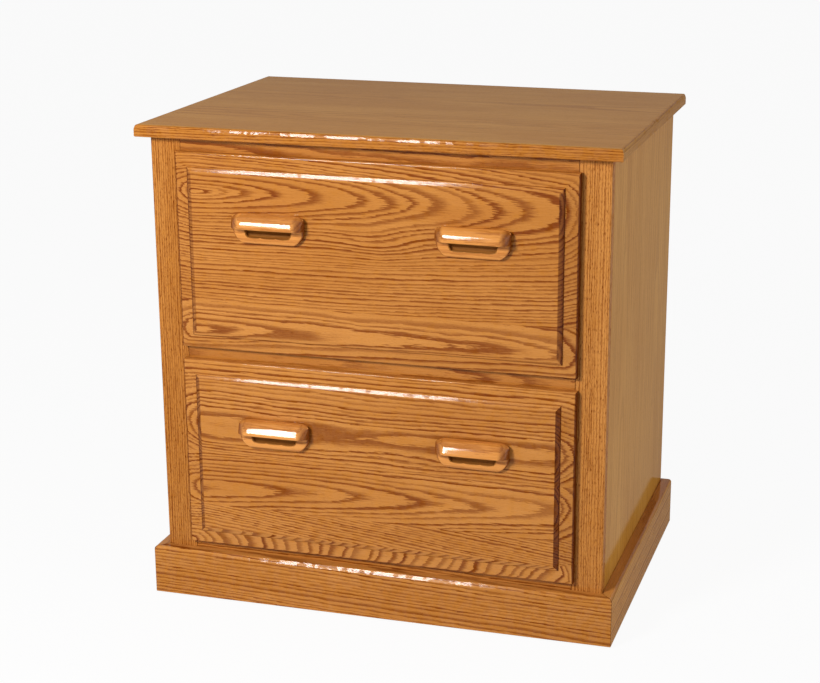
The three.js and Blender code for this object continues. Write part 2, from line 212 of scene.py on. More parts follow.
def oak(name, axes, face, boards, knots=(), tones=oakTones, contrast=1.0, pores=1.0, gloss=0.32,
        polish=0.10, endGrain=1.0, dullAxis="x", dullGloss=0.14, fade=None, relief=1.0, plies=0.0,
        dash=0.35, gaps=0.34, endTurn=0.50, backTurn=1.0):
    finish = Finish(name, specularIORLevel=0.0, coatRoughness=polish)
    place = finish.point("Object")
    facing = finish.point("Normal")
    along, across = place[axes[0]], place[axes[1]]
    depth = place[axes[2]] - face if axes[2] == "y" else face - place[axes[2]]
    masks = [across > board["start"] for board in boards[1:]]

    def pick(key, fallback=0.0):  # a board's own number, switched at the glue lines
        levels = [board.get(key, fallback) for board in boards]
        total = levels[0]
        for mask, before, after in zip(masks, levels, levels[1:]):
            if after != before:
                total = mask * (after - before) + total
        return total

    def pattern(kind, detail, start=0.0, aside=0.0, out="Fac"):
        run, fine = figure[kind]
        return finish.noise(along * run + start, across * fine + aside, depth * fine, detail, out)

    # Where the growth rings run
    seed = pick("seed")
    wander = pattern("wander", 2.0, seed * 7.31, seed, "Color")
    shift = finish.add("ShaderNodeSeparateColor", {}, {0: wander}, "Red")
    ripple = pattern("ripple", 2.0, seed * 3.7)
    wave = pick("wave", 0.012)
    drift = (shift - 0.5) * wave
    sink = (shift.output("Green") - 0.5) * wave
    for knot in knots:
        reach = ((along - knot["x"]) / knot["wide"]) ** 2.0
        rise = ((across - knot["z"]) / knot["tall"]) ** 2.0
        swell = ((reach + rise) * -1.0).math("EXPONENT")
        drift = swell * knot["lift"] + drift
    offAcross = across + drift - (along * pick("lean") + pick("pith"))
    before = (pick("heart", -1.0) - along).math("MAXIMUM", 0.0)
    offDepth = depth * relief + sink + before * pick("tilt") + (along * pick("dip") + pick("ahead"))
    radius = (offAcross * offAcross + offDepth * offDepth).math("SQRT")
    fibre = pattern("fibre", 2.0, seed)
    radius = radius + (ripple - 0.5) * pick("ripple", 0.0036) + (fibre - 0.5) * pick("jag", 0.0044)
    uneven = finish.noise(radius * yearly["unevenEvery"] + seed, 0.0, 0.0, 2.0)
    rings = radius / pick("ring", 0.005) + uneven * yearly["uneven"]
    part = rings.math("FRACT")
    year = finish.random(rings.math("FLOOR") + seed)
    early = part.ramp(0.0, yearly["start"]) * part.ramp(yearly["fadeFrom"], yearly["fadeTo"], 1.0, 0.0)
    early = early * (year * (1.0 - yearly["weakest"]) + yearly["weakest"])

    # Fibre streaks, open pores and slow changes of tone
    streak = pattern("streak", 3.0).ramp(0.35, 0.65)
    pore = pattern("tick", 1.0).ramp(poreLook["start"], poreLook["full"])
    pore = pore * (early * poreLook["inRings"] + (1.0 - poreLook["inRings"])) * pores
    patch = pattern("patch", 3.0, seed).ramp(0.3, 0.7)
    tone = patch * toneShare["patch"] + streak * toneShare["streak"] + pick("tone")

    colour = finish.mix(tone, tones["pale"], tones["light"])
    band = finish.mix(streak, tones["deep"], tones["dark"])
    colour = finish.mix(early * contrast, colour, band)
    colour = finish.mix(pore * poreLook["dark"], colour, tones["pore"])
    # Painted reflection: broad faces are made paler and yellower, as the pale surroundings that they
    # reflect make them look, together with the veneer's own tone.
    if fade:
        flat = abs(facing[axes[2]]).ramp(0.6, 0.95)
        colour = finish.mix(flat, colour, finish.mix(1.0, colour, fade, "MULTIPLY"))
    if plies:
        layer = (depth / plies).math("FRACT").ramp(plyLook["start"], plyLook["full"])
        edge = abs(facing[axes[2]]).ramp(0.3, 0.7, 1.0, 0.0)
        colour = finish.mix(edge * (layer * plyLook["layer"] + plyLook["least"]), colour, tones["glue"])
    # Faces turned along the grain take the end colour. This is partly real end grain and partly painted
    # shade on faces turned away from the key light. Faces turned back towards the light take less of it.
    if endGrain:
        turned = facing[axes[0]].math("MAXIMUM", facing[axes[0]] * -backTurn)
        share = turned.ramp(0.10, endTurn, 0.0, 0.95) * endGrain
        colour = finish.mix(share, colour, tones["endShade"], "MULTIPLY")
    finish.set("baseColor", colour)
    coat = varnishLook
    finish.set("roughness", coat["roughness"] + pore * coat["inPores"] + early * coat["inRings"])
    varnish = abs(facing[dullAxis]).ramp(0.4, 0.95, gloss, dullGloss)
    if dash < 1.0:  # brushed varnish: its glints break up along the grain
        varnish = varnish * pattern("brush", 2.0, seed).ramp(gaps, gaps + coat["gapEdge"], dash, 1.0)
    finish.set("coatWeight", (1.0 - pore * coat["poreLoss"]) * varnish)
    hollow = (early * woodRelief["rings"] + pore) * -1.0
    finish.bump(hollow, woodRelief["strength"], woodRelief["depth"])
    return finish.material


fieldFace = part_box("upper_drawer_front")[0].y
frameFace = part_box("left_stile")[0].y

# The fronts' left-facing faces are lit, so they take less of the painted shade at the ends.
upperFrontOak = oak("upperFrontOak", "xzy", fieldFace, [
    dict(start=0.0, pith=0.466, ahead=0.026, lean=0.01, dip=0.035, ring=0.0066, wave=0.026, seed=4.0),
    dict(start=0.507, pith=0.681, ahead=0.0335, dip=0.112, heart=-0.286, tilt=0.22, ring=0.0054,
         wave=0.012, seed=1.0, tone=-0.25),
], knots=[dict(x=0.012, z=0.612, wide=0.065, tall=0.030, lift=0.011)],
    relief=2.0, contrast=1.1, endTurn=0.36, backTurn=0.80)

lowerFrontOak = oak("lowerFrontOak", "xzy", fieldFace, [
    dict(start=0.0, pith=0.085, ahead=0.110, dip=0.27, ring=0.0052, wave=0.006, jag=0.002,
         seed=9.0, tone=0.2),
    dict(start=0.127, pith=0.020, ahead=0.050, lean=-0.10, ring=0.0042, wave=0.010, seed=2.0),
    dict(start=0.168, pith=0.208, ahead=0.030, lean=0.045, dip=0.058, ring=0.0060, wave=0.016, seed=3.0),
    dict(start=0.256, pith=0.305, ahead=0.036, lean=-0.01, dip=0.004, ring=0.0056, wave=0.024, seed=6.0),
], relief=2.0, contrast=1.1, gaps=0.40, endTurn=0.36, backTurn=0.65)

railOak = oak("railOak", "xzy", frameFace, [
    dict(start=0.0, pith=0.05, ahead=0.03, dip=0.03, ring=0.005, wave=0.014, seed=5.0),
    dict(start=0.25, pith=0.418, ahead=0.022, dip=0.03, ring=0.0056, wave=0.022, seed=7.0, tone=-0.5),
    dict(start=0.6, pith=0.738, ahead=0.020, dip=0.02, ring=0.0052, wave=0.022, seed=8.0, tone=-0.3),
])

stileOak = oak("stileOak", "zxy", frameFace, [
    dict(start=-1.0, pith=-0.55, ahead=0.10, ring=0.0034, wave=0.006, ripple=0.001, seed=11.0, tone=-0.25),
    dict(start=0.0, pith=0.10, ahead=0.14, ring=0.0034, wave=0.006, ripple=0.001, seed=12.0, tone=0.25),
], contrast=0.8, pores=3.2, gloss=0.18)

plinthOak = oak("plinthOak", "xzy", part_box("front_plinth")[0].y, [
    dict(start=-1.0, pith=-0.09, ahead=0.03, lean=-0.03, dip=0.02, ring=0.0060, wave=0.012, seed=14.0),
], dash=0.15, gaps=0.45)

plinthSideOak = oak("plinthSideOak", "yzx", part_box("right_plinth")[1].x, [
    dict(start=-1.0, pith=-0.06, ahead=0.03, lean=0.02, dip=0.02, ring=0.0060, wave=0.012, seed=15.0),
], contrast=0.7, fade=(1.10, 1.24, 1.0), dash=1.0)

# The pulls' oak is a lighter copy: painted sheen that pales the pulls.
pullOak = oak("pullOak", "xzy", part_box("upper_left_pull")[0].y, [
    dict(start=0.0, pith=0.27, ahead=-0.05, ring=0.0050, wave=0.008, seed=16.0, tone=0.2),
    dict(start=0.5, pith=0.60, ahead=-0.05, ring=0.0050, wave=0.008, seed=17.0, tone=0.2),
], tones=litOrShadedTones(1.22),
    contrast=0.6, pores=0.6, gloss=0.45, polish=0.06, dullGloss=0.05, endGrain=0.9, dash=0.8, endTurn=0.66)

# Painted shade: a darker copy of the pull's oak for the slot and the hollow, where the bar shades them.
slotOak = oak("slotOak", "xzy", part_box("upper_left_pull")[0].y, [
    dict(start=0.0, pith=0.27, ahead=-0.05, ring=0.0050, wave=0.008, seed=18.0),
], tones=litOrShadedTones(0.60),
    contrast=0.5, pores=0.6, gloss=0.04, polish=0.4, endGrain=0.3)

topVeneer = oak("topVeneer", "xyz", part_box("top_panel")[1].z, [
    dict(start=-1.0, pith=-0.10, ahead=-0.06, lean=0.01, dip=0.015, ring=0.0050, wave=0.016,
         seed=21.0, tone=-0.3),
    dict(start=-0.02, pith=0.10, ahead=-0.05, lean=-0.01, dip=0.02, ring=0.0054, wave=0.016,
         seed=22.0, tone=-0.3),
], contrast=0.36, pores=0.8, dullAxis="z", dullGloss=0.17, endGrain=0.0, fade=(1.12, 1.27, 1.0), dash=1.0)

lippingOak = oak("lippingOak", "xzy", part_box("top_panel")[0].y, [
    dict(start=0.0, pith=0.70, ahead=0.02, lean=0.01, ring=0.0034, wave=0.008, seed=25.0, tone=-0.5),
], pores=1.6, endGrain=0.0, dash=0.08, gaps=0.45)

endLippingOak = oak("endLippingOak", "yzx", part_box("top_panel")[1].x, [
    dict(start=0.0, pith=0.71, ahead=0.02, lean=0.01, ring=0.0034, wave=0.008, seed=26.0, tone=-0.25),
], contrast=0.5, endGrain=0.0, fade=(0.98, 1.14, 1.06))

sideVeneer = oak("sideVeneer", "zyx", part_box("right_side_panel")[1].x, [
    dict(start=-1.0, pith=-0.12, ahead=0.07, lean=0.01, dip=0.015, ring=0.0056, wave=0.014, seed=23.0),
    dict(start=0.03, pith=0.17, ahead=0.07, lean=-0.01, dip=0.02, ring=0.0060, wave=0.014, seed=24.0),
], contrast=0.34, pores=0.8, dullGloss=0.16, endGrain=0.0, fade=(1.13, 1.32, 1.08), dash=1.0)

leftVeneer = oak("leftVeneer", "zyx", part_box("left_side_panel")[0].x, [
    dict(start=-1.0, pith=-0.14, ahead=-0.07, lean=0.01, dip=-0.015, ring=0.0056, wave=0.014, seed=27.0),
    dict(start=0.01, pith=0.15, ahead=-0.07, lean=-0.01, dip=-0.020, ring=0.0060, wave=0.014, seed=28.0),
], contrast=0.40, pores=0.8, dullGloss=0.16, endGrain=0.0, fade=(1.04, 1.08, 1.0), dash=1.0)

leftPlinthOak = oak("leftPlinthOak", "yzx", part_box("left_plinth")[0].x, [
    dict(start=-1.0, pith=-0.06, ahead=-0.03, lean=0.02, dip=-0.02, ring=0.0060, wave=0.012, seed=29.0),
], contrast=0.8, fade=(1.04, 1.08, 1.0), dash=1.0)

# Paler timbers that are out of sight
mapleTones = dict(
    light=(0.640, 0.430, 0.235),
    pale=(0.545, 0.345, 0.175),
    dark=(0.430, 0.250, 0.115),
    deep=(0.370, 0.205, 0.090),
    pore=(0.350, 0.200, 0.090),
    endShade=(0.60, 0.52, 0.44),
)
plyTones = dict(
    light=(0.560, 0.345, 0.165),
    pale=(0.470, 0.270, 0.115),
    dark=(0.350, 0.185, 0.070),
    deep=(0.290, 0.145, 0.052),
    pore=(0.250, 0.120, 0.045),
    glue=(0.190, 0.095, 0.040),
)


def maple(name, axes, seed):
    board = dict(start=-1.0, pith=0.3, ahead=0.08, dip=0.03, lean=0.02, ring=0.008, wave=0.02, seed=seed)
    return oak(name, axes, 0.0, [board], tones=mapleTones, contrast=0.55, pores=0.25, gloss=0.22,
               polish=0.25, endGrain=0.7)


def plywood(name, axes, seed, plies):
    board = dict(start=-1.0, pith=0.1, ahead=0.06, dip=0.02, lean=0.03, ring=0.010, wave=0.03, seed=seed)
    return oak(name, axes, 0.0, [board], tones=plyTones, contrast=0.5, pores=0.5, gloss=0.10,
               polish=0.35, endGrain=0.0, plies=plies)


steelLook = dict(drawnFine=900.0, drawnRun=5.0, dull=0.72, roughness=0.24, inBloom=0.16, inLines=0.12,
                 lineDepth=0.0001)


def steel(name, colour, scratches, spangle):  # plated, with draw lines along the runs
    look = steelLook
    finish = Finish(name, metallic=1.0)
    place = finish.point("Object")
    bloom = finish.noise(*[place[axis] * spangle for axis in "xyz"], 3.0)
    fine, run = look["drawnFine"], look["drawnRun"]
    drawn = finish.noise(place["x"] * fine, place["y"] * run, place["z"] * fine, 2.0)
    dull = tuple(look["dull"] * level for level in colour)
    finish.set("baseColor", finish.mix(bloom.ramp(0.35, 0.68) * 0.7 + drawn * 0.3, dull, colour))
    finish.set("roughness", look["roughness"] + bloom * look["inBloom"] + drawn * look["inLines"])
    finish.bump(drawn, scratches, look["lineDepth"])
    return finish.material


mouldedLook = dict(shine=0.35, clouds=70.0, roughness=0.42, inGrain=0.3, relief=0.4)


def moulded(name, colour, bright, grainSize, depth):  # nylon or felt, by how fine its grain is
    look = mouldedLook
    finish = Finish(name, specularIORLevel=look["shine"])
    place = finish.point("Object")
    grain = finish.noise(*[place[axis] * grainSize for axis in "xyz"], 3.0)
    cloud = finish.noise(*[place[axis] * look["clouds"] for axis in "xyz"], 2.0)
    finish.set("baseColor", finish.mix(grain.ramp(0.3, 0.7) * 0.6 + cloud * 0.4, colour, bright))
    finish.set("roughness", look["roughness"] + grain * look["inGrain"])
    finish.bump(grain, look["relief"], depth)
    return finish.material


mapleAlongX = maple("mapleAlongX", "xzy", 31.0)
mapleAlongY = maple("mapleAlongY", "yzx", 32.0)
mapleAlongZ = maple("mapleAlongZ", "zxy", 33.0)
mapleLaidFlat = maple("mapleLaidFlat", "xyz", 34.0)
uprightPly = plywood("uprightPly", "zxy", 35.0, 0.0019)
flatPly = plywood("flatPly", "xyz", 36.0, 0.0020)
slideZinc = steel("slideZinc", (0.60, 0.61, 0.62), 0.25, 160.0)
railZinc = steel("railZinc", (0.47, 0.48, 0.50), 0.35, 90.0)
screwBrass = steel("screwBrass", (0.62, 0.47, 0.20), 0.20, 400.0)
glideNylon = moulded("glideNylon", (0.560, 0.520, 0.450), (0.740, 0.710, 0.650), 1800.0, 0.0001)
padFelt = moulded("padFelt", (0.090, 0.048, 0.020), (0.185, 0.105, 0.050), 2600.0, 0.0002)
print("finishes made:", len(bpy.data.materials))


# Camera at the photograph's angle
view = dict(
    place=(0.85797, -2.77339, 1.24146),
    back=(0.26687, -0.92063, 0.28498),
    lens=79.592,
    sensor=36.0,
    shiftX=-0.05344,
    shiftY=0.0076,
    farthest=200.0,
)


def makeCamera():
    camera = bpy.data.objects.new("camera", bpy.data.cameras.new("camera"))
    back = Vector(view["back"]).normalized()
    right = Vector((0, 0, 1)).cross(back).normalized()
    turn = Matrix((right, back.cross(right), back)).transposed()
    camera.matrix_world = Matrix.Translation(view["place"]) @ turn.to_4x4()
    camera.data.sensor_width = view["sensor"]
    camera.data.lens = view["lens"]
    camera.data.shift_x = view["shiftX"]
    camera.data.shift_y = view["shiftY"]
    camera.data.clip_end = view["farthest"]
    bpy.context.scene.collection.objects.link(camera)
    bpy.context.scene.camera = camera


# Studio: pale floor, white surroundings, one soft box up on the left and a weak one on the right
studio = dict(
    floorSize=60.0,
    floorColour=(0.75, 0.75, 0.75),
    floorGlow=0.94,
    ambient=0.25,
    aim=(0.0, -0.1, 0.45),
    keyPlace=(-0.805, -2.20, 1.62),
    keySize=(0.60, 0.47),
    keyPower=53.0,
    fillPlace=(2.60, -0.60, 1.30),
    fillSize=(1.80, 1.80),
    fillPower=19.0,
)


def makeStudio():
    shape = bmesh.new()
    bmesh.ops.create_grid(shape, x_segments=2, y_segments=2, size=studio["floorSize"] / 2)
    mesh = bpy.data.meshes.new("floor")
    shape.to_mesh(mesh)
    shape.free()
    floor = bpy.data.objects.new("floor", mesh)
    bpy.context.scene.collection.objects.link(floor)

    paint = Finish("floorPaint")
    matt = paint.add("ShaderNodeBsdfDiffuse", {}, {"Color": (*studio["floorColour"], 1.0)})
    glow = paint.add("ShaderNodeEmission", {}, {})
    share = paint.seen() * studio["floorGlow"]
    blend = paint.add("ShaderNodeMixShader", {}, {0: share, 1: matt, 2: glow})
    paint.tree.nodes.remove(paint.shader)
    paint.join(blend, paint.tree.nodes["Material Output"].inputs["Surface"])
    mesh.materials.append(paint.material)

    world = bpy.data.worlds.new("surroundings")
    world.use_nodes = True
    sky = Tree(world.node_tree)
    backdrop = sky.tree.nodes["Background"]
    sky.join((1.0, 1.0, 1.0, 1.0), backdrop.inputs["Color"])
    strength = sky.add("ShaderNodeMapRange", {}, {"Value": sky.seen(), "To Min": studio["ambient"]})
    sky.join(strength, backdrop.inputs["Strength"])
    bpy.context.scene.world = world

    for name in ("key", "fill"):
        lamp = bpy.data.lights.new(name + "Light", "AREA")
        lamp.shape = "RECTANGLE"
        lamp.size, lamp.size_y = studio[name + "Size"]
        lamp.energy = studio[name + "Power"]
        box = bpy.data.objects.new(name + "Light", lamp)
        aim = Vector(studio["aim"]) - Vector(studio[name + "Place"])
        turn = aim.to_track_quat("-Z", "Y").to_matrix().to_4x4()
        box.matrix_world = Matrix.Translation(studio[name + "Place"]) @ turn
        bpy.context.scene.collection.objects.link(box)


makeCamera()
makeStudio()
bpy.context.scene.view_settings.view_transform = "Standard"
print("camera and studio in place")


# Pieces: a mesh with its place in it, riding on a body. Points nearer than the tolerance are one.
tolerance = 1e-6
softening = dict(flat=1.0, corner=50.0)


def addPiece(name, shape, materials, body, slot, *nodes, smooth=40.0):
    mesh = bpy.data.meshes.new(name)
    shape.normal_update()
    shape.to_mesh(mesh)
    shape.free()
    for face in mesh.polygons:
        face.use_smooth = True
    mesh.set_sharp_from_angle(angle=math.radians(smooth))
    for material in materials if isinstance(materials, list) else [materials]:
        mesh.materials.append(material)
    piece = bpy.data.objects.new(name, mesh)
    bpy.context.scene.collection.objects.link(piece)
    evener = piece.modifiers.new("evener", "WEIGHTED_NORMAL")  # broad faces stay flat
    evener.keep_sharp = True
    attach(piece, body)
    if nodes:
        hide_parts(*nodes)
    return piece


def boxShape(low, high):
    shape = bmesh.new()
    bmesh.ops.create_cube(shape, size=1.0)
    low, high = Vector(low), Vector(high)
    bmesh.ops.scale(shape, vec=high - low, verts=shape.verts)
    bmesh.ops.translate(shape, vec=(low + high) / 2, verts=shape.verts)
    return shape


def ease(shape, edges, radius, segments=2):
    bmesh.ops.bevel(shape, geom=edges, offset=radius, offset_type="OFFSET", affect="EDGES",
                    segments=segments, profile=0.5, material=-1, clamp_overlap=True)


def cutAt(shape, axis, *places):
    for place in places:
        point, normal = Vector((0, 0, 0)), Vector((0, 0, 0))
        point[axis] = place
        normal[axis] = 1.0
        geometry = shape.verts[:] + shape.edges[:] + shape.faces[:]
        bmesh.ops.bisect_plane(shape, geom=geometry, dist=tolerance, plane_co=point, plane_no=normal)


def pushOut(shape, faces, vector):  # extrude a patch and drop the faces that it leaves behind
    made = bmesh.ops.extrude_face_region(shape, geom=faces)["geom"]
    moved = [item for item in made if isinstance(item, bmesh.types.BMVert)]
    bmesh.ops.translate(shape, vec=vector, verts=moved)
    bmesh.ops.delete(shape, geom=[f for f in faces if f.is_valid], context="FACES_ONLY")
    return [item for item in made if isinstance(item, bmesh.types.BMFace)]


def easedCopy(node, radius, segments=2):  # a CAD board with its corners softened
    shape = bmesh.new()
    shape.from_mesh(frame["nodes"][node].data)
    bmesh.ops.remove_doubles(shape, verts=shape.verts, dist=tolerance)
    flat, corner = math.radians(softening["flat"]), math.radians(softening["corner"])
    bmesh.ops.dissolve_limit(shape, angle_limit=flat, verts=shape.verts, edges=shape.edges)
    corners = [e for e in shape.edges if e.is_convex and e.calc_face_angle(0.0) > corner]
    ease(shape, corners, radius, segments)
    return shape


# Drawer fronts: an eased edge, a shallow bevel, and a small wall that rolls over into the raised
# field. A roll is a list of slopes in degrees, each with its length in millimetres.
frontProfile = dict(
    edge=0.0115,
    edgeRoll=((16, 0.9), (18, 0.9), (36, 0.7), (55, 0.8), (75, 0.8)),
    border=0.030,
    bevelThickness=0.0145,
    fieldThickness=0.0195,
    roll=((6, 0.5), (11, 0.5), (15, 1.2), (17, 3.3), (19, 1.7), (25, 0.6), (38, 0.6), (54, 0.6),
          (70, 0.6)),
    steeper=dict(upper=0.0, lower=7.0),
    footGap=0.0002,
    middleIn=0.55,
    middleUp=0.46,
    backEase=0.0006,
)
millimetre = 0.001
cutPast = 0.001  # cuts this far inside the corners keep the long strips true


def rollOff(inset, out, roll):  # from a face down to its edge
    points = [(inset, out)]
    for turn, length in roll:
        inset -= length * millimetre * math.cos(math.radians(turn))
        out -= length * millimetre * math.sin(math.radians(turn))
        points.append((inset, out))
    return points[::-1]


def frontOutline(p, lean):  # how far in from the edge, and how far out from the back
    wide = sum(length * millimetre * math.cos(math.radians(turn)) for turn, length in p["edgeRoll"])
    rim = rollOff(wide, p["edge"], p["edgeRoll"])
    leaning = [(turn + lean, length) for turn, length in p["roll"]]
    shoulder = rollOff(p["border"], p["fieldThickness"], leaning)
    foot = (shoulder[0][0] - p["footGap"], p["bevelThickness"])
    middle = (foot[0] * p["middleIn"], p["edge"] + (foot[1] - p["edge"]) * p["middleUp"])
    return rim + [middle, foot] + shoulder


def insetAlong(shape, face, outline):
    for (inset, out), (nextInset, nextOut) in zip(outline, outline[1:]):
        bmesh.ops.inset_region(shape, faces=[face], thickness=nextInset - inset, depth=nextOut - out,
                               use_even_offset=True, use_boundary=True)


def drawerFront(drawer, material):
    p = frontProfile
    low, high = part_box(drawer + "_drawer_front")
    back = high.y
    outline = frontOutline(p, p["steeper"][drawer])
    shape = boxShape((low.x, back - outline[0][1], low.z), (high.x, back, high.z))
    rear = [e for e in shape.edges if all(v.co.y > back - tolerance for v in e.verts)]
    ease(shape, rear, p["backEase"])
    insetAlong(shape, min(shape.faces, key=lambda f: f.calc_center_median().y), outline)
    trim = p["border"] + cutPast
    cutAt(shape, 0, low.x + trim, high.x - trim)
    cutAt(shape, 2, low.z + trim, high.z - trim)
    addPiece(drawer + "DrawerFront", shape, material, drawer + "_drawer", "oak_solid",
             drawer + "_drawer_front", smooth=24.0)


drawerFront("upper", upperFrontOak)
drawerFront("lower", lowerFrontOak)
print("drawer fronts done")

# Pulls: a plate with a finger slot, under a loaf-shaped bar that is hollow behind. The nose gives
# how far out and how high each row of the bar's cage lies, from the slot up. Each bar can be turned
# to one side or leant back, as slopes that grow with how far it stands out.
pullShape = dict(
    half=0.058,
    tall=0.0465,
    plate=0.009,
    rows=(0.0104, 0.0248, 0.0280, 0.0320, 0.0370, 0.0420),
    columns=(0.013, 0.0330, 0.0385, 0.0465),
    slotFloor=0.0006,
    slotLip=0.0010,
    hollow=0.0110,
    hollowLip=0.0020,
    hollowFrom=0.0010,
    hollowTo=0.0078,
    nose=((0.0262, 0.0248), (0.0275, 0.0262), (0.0257, 0.0315), (0.0238, 0.0370),
          (0.0200, 0.0428), (0.0112, 0.0465)),
    endBack=0.0090,
    topDrop=0.0030,
    cornerIn=0.0078,
    cornerUp=0.0058,
    cornerReach=0.0045,
    slotRound=0.0038,
    levels=3,
    near=0.0001,
    turned={"upper_right_pull": 0.010},
    leanBack={"upper": 0.0, "lower": 0.107},
)


def pullCage():  # lies with its back at y = 0, its foot at z = 0 and its front towards -y
    p = pullShape
    half, tall = p["half"], p["tall"]
    reach, outer = p["columns"][2:]
    slotLow, slotHigh = p["rows"][0], p["rows"][1]
    shape = boxShape((-half, -p["plate"], 0.0), (half, 0.0, tall))
    cutAt(shape, 0, *[sign * place for place in p["columns"] for sign in (-1, 1)])
    cutAt(shape, 2, *p["rows"])

    def facesAt(low, high, wide, normal):
        found = []
        shape.normal_update()
        for face in shape.faces:
            middle = face.calc_center_median()
            if face.normal.dot(normal) > 0.9 and low < middle.z < high and abs(middle.x) < wide:
                found.append(face)
        return found

    def close(first, second):
        return abs(first - second) < p["near"]

    forward, downward = Vector((0, -1, 0)), Vector((0, 0, -1))
    bar = pushOut(shape, facesAt(slotHigh, tall, 1.0, forward), forward * p["plate"])
    levels = p["rows"][1:] + (tall,)
    for vert in {v for face in bar for v in face.verts}:
        row = min(range(len(levels)), key=lambda index: abs(levels[index] - vert.co.z))
        out, high = p["nose"][row]
        end = close(abs(vert.co.x), half)
        vert.co.y = -out + (p["endBack"] if end else 0.0)
        vert.co.z = high - (p["topDrop"] * row / (len(levels) - 1) if end else 0.0)
    for vert in shape.verts:  # round the corners
        x, z = abs(vert.co.x), vert.co.z
        inward = -math.copysign(1.0, vert.co.x)
        if close(x, half) and close(z, 0.0):
            vert.co.x += inward * p["cornerIn"]
            vert.co.z = p["cornerUp"]
        elif close(x, half) and close(z, slotLow):
            vert.co.z += p["cornerReach"]
        elif close(x, outer) and close(z, 0.0):
            vert.co.x += inward * p["cornerReach"]
        elif close(x, reach) and close(z, slotLow) and close(vert.co.y, -p["plate"]):
            vert.co.x += inward * p["slotRound"]
            vert.co.z += p["slotRound"]
        elif close(x, half) and close(z, tall):
            vert.co.x += inward * p["topDrop"]
            vert.co.z -= p["topDrop"]
    slot = facesAt(slotLow, slotHigh, reach, forward)
    slot = pushOut(shape, slot, (0.0, p["slotLip"], 0.0))
    pushOut(shape, slot, (0.0, p["plate"] - p["slotLip"] - p["slotFloor"], 0.0))
    roof = []
    for face in facesAt(slotHigh - p["near"], slotHigh + p["near"], reach, downward):
        if p["hollowFrom"] < -face.calc_center_median().y < p["hollowTo"]:
            roof.append(face)
    lid = pushOut(shape, roof, (0.0, 0.0, p["hollowLip"]))
    pushOut(shape, lid, (0.0, 0.0, p["hollow"] - p["hollowLip"]))
    bmesh.ops.recalc_face_normals(shape, faces=shape.faces)
    # The slot and the hollow take the darker oak: painted shade under the bar.
    for face in shape.faces:  # the slot and the hollow have a finish of their own
        middle = face.calc_center_median()
        deep = p["near"] < -middle.y < p["plate"] - p["near"]
        wide = abs(middle.x) < reach + p["near"]
        tallEnough = slotLow - p["near"] < middle.z < slotHigh + p["hollow"] + p["near"]
        face.material_index = int(deep and wide and tallEnough)
    return shape


def smoothed(shape, levels):  # the cage after Catmull-Clark subdivision, as a mesh of its own
    mesh = bpy.data.meshes.new("cage")
    shape.to_mesh(mesh)
    shape.free()
    cage = bpy.data.objects.new("cage", mesh)
    bpy.context.scene.collection.objects.link(cage)
    rounder = cage.modifiers.new("rounder", "SUBSURF")
    rounder.levels = rounder.render_levels = levels
    result = bmesh.new()
    result.from_object(cage, bpy.context.evaluated_depsgraph_get())
    bpy.data.objects.remove(cage)
    bpy.data.meshes.remove(mesh)
    return result


def fitTo(shape, low, high):  # stretch a shape onto a CAD node's own box
    places = [v.co for v in shape.verts]
    least = Vector([min(p[axis] for p in places) for axis in range(3)])
    most = Vector([max(p[axis] for p in places) for axis in range(3)])
    stretch = Vector([(high[axis] - low[axis]) / (most[axis] - least[axis]) for axis in range(3)])
    bmesh.ops.translate(shape, vec=-least, verts=shape.verts)
    bmesh.ops.scale(shape, vec=stretch, verts=shape.verts)
    bmesh.ops.translate(shape, vec=low, verts=shape.verts)


for drawer in ("upper", "lower"):
    for side in ("left", "right"):
        node = drawer + "_" + side + "_pull"
        loaf = smoothed(pullCage(), pullShape["levels"])
        turn = pullShape["turned"].get(node, 0.0)
        lean = pullShape["leanBack"][drawer]
        for vert in loaf.verts:  # bars shaped by hand, each a little out of true
            proud = max(0.0, -vert.co.y / pullShape["plate"] - 1.0)
            rise = max(0.0, vert.co.z - pullShape["nose"][1][1])
            vert.co.y += proud * (lean * rise - turn * vert.co.x)
        fitTo(loaf, *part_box(node))
        addPiece(drawer + side.title() + "Pull", loaf, [pullOak, slotOak], drawer + "_drawer", "oak_solid",
                 node, smooth=60.0)
print("pulls done")

# Case boards with softened corners
caseBoards = {
    "left_stile": (stileOak, "oak_solid", 0.0008),
    "right_stile": (stileOak, "oak_solid", 0.0008),
    "top_rail": (railOak, "oak_solid", 0.0005),
    "middle_rail": (railOak, "oak_solid", 0.0005),
    "bottom_rail": (railOak, "oak_solid", 0.0005),
    "front_plinth": (plinthOak, "oak_solid", 0.0006),
    "left_plinth": (leftPlinthOak, "oak_solid", 0.0006),
    "right_plinth": (plinthSideOak, "oak_solid", 0.0006),
    "left_side_panel": (leftVeneer, "oak_veneer", 0.0005),
    "right_side_panel": (sideVeneer, "oak_veneer", 0.0005),
}


def camel(name):
    first, *rest = name.split("_")
    return first + "".join(word.title() for word in rest)


plinthArris = dict(slope=31.5, length=0.0066, easing=0.0009, longerThan=0.1)


def cutArris(shape, front, top):  # plane a sloping flat along the upper front edge
    slope = math.radians(plinthArris["slope"])
    normal = Vector((0.0, -math.cos(slope), math.sin(slope)))
    point = Vector((0.0, front, top - plinthArris["length"] * math.cos(slope)))
    geometry = shape.verts[:] + shape.edges[:] + shape.faces[:]
    cut = bmesh.ops.bisect_plane(shape, geom=geometry, dist=tolerance, plane_co=point, plane_no=normal,
                                 clear_outer=True)["geom_cut"]
    rim = [item for item in cut if isinstance(item, bmesh.types.BMEdge)]
    made = bmesh.ops.edgeloop_fill(shape, edges=rim)["faces"]
    bmesh.ops.recalc_face_normals(shape, faces=shape.faces)
    longEdges = [e for face in made for e in face.edges if e.calc_length() > plinthArris["longerThan"]]
    ease(shape, longEdges, plinthArris["easing"], 3)


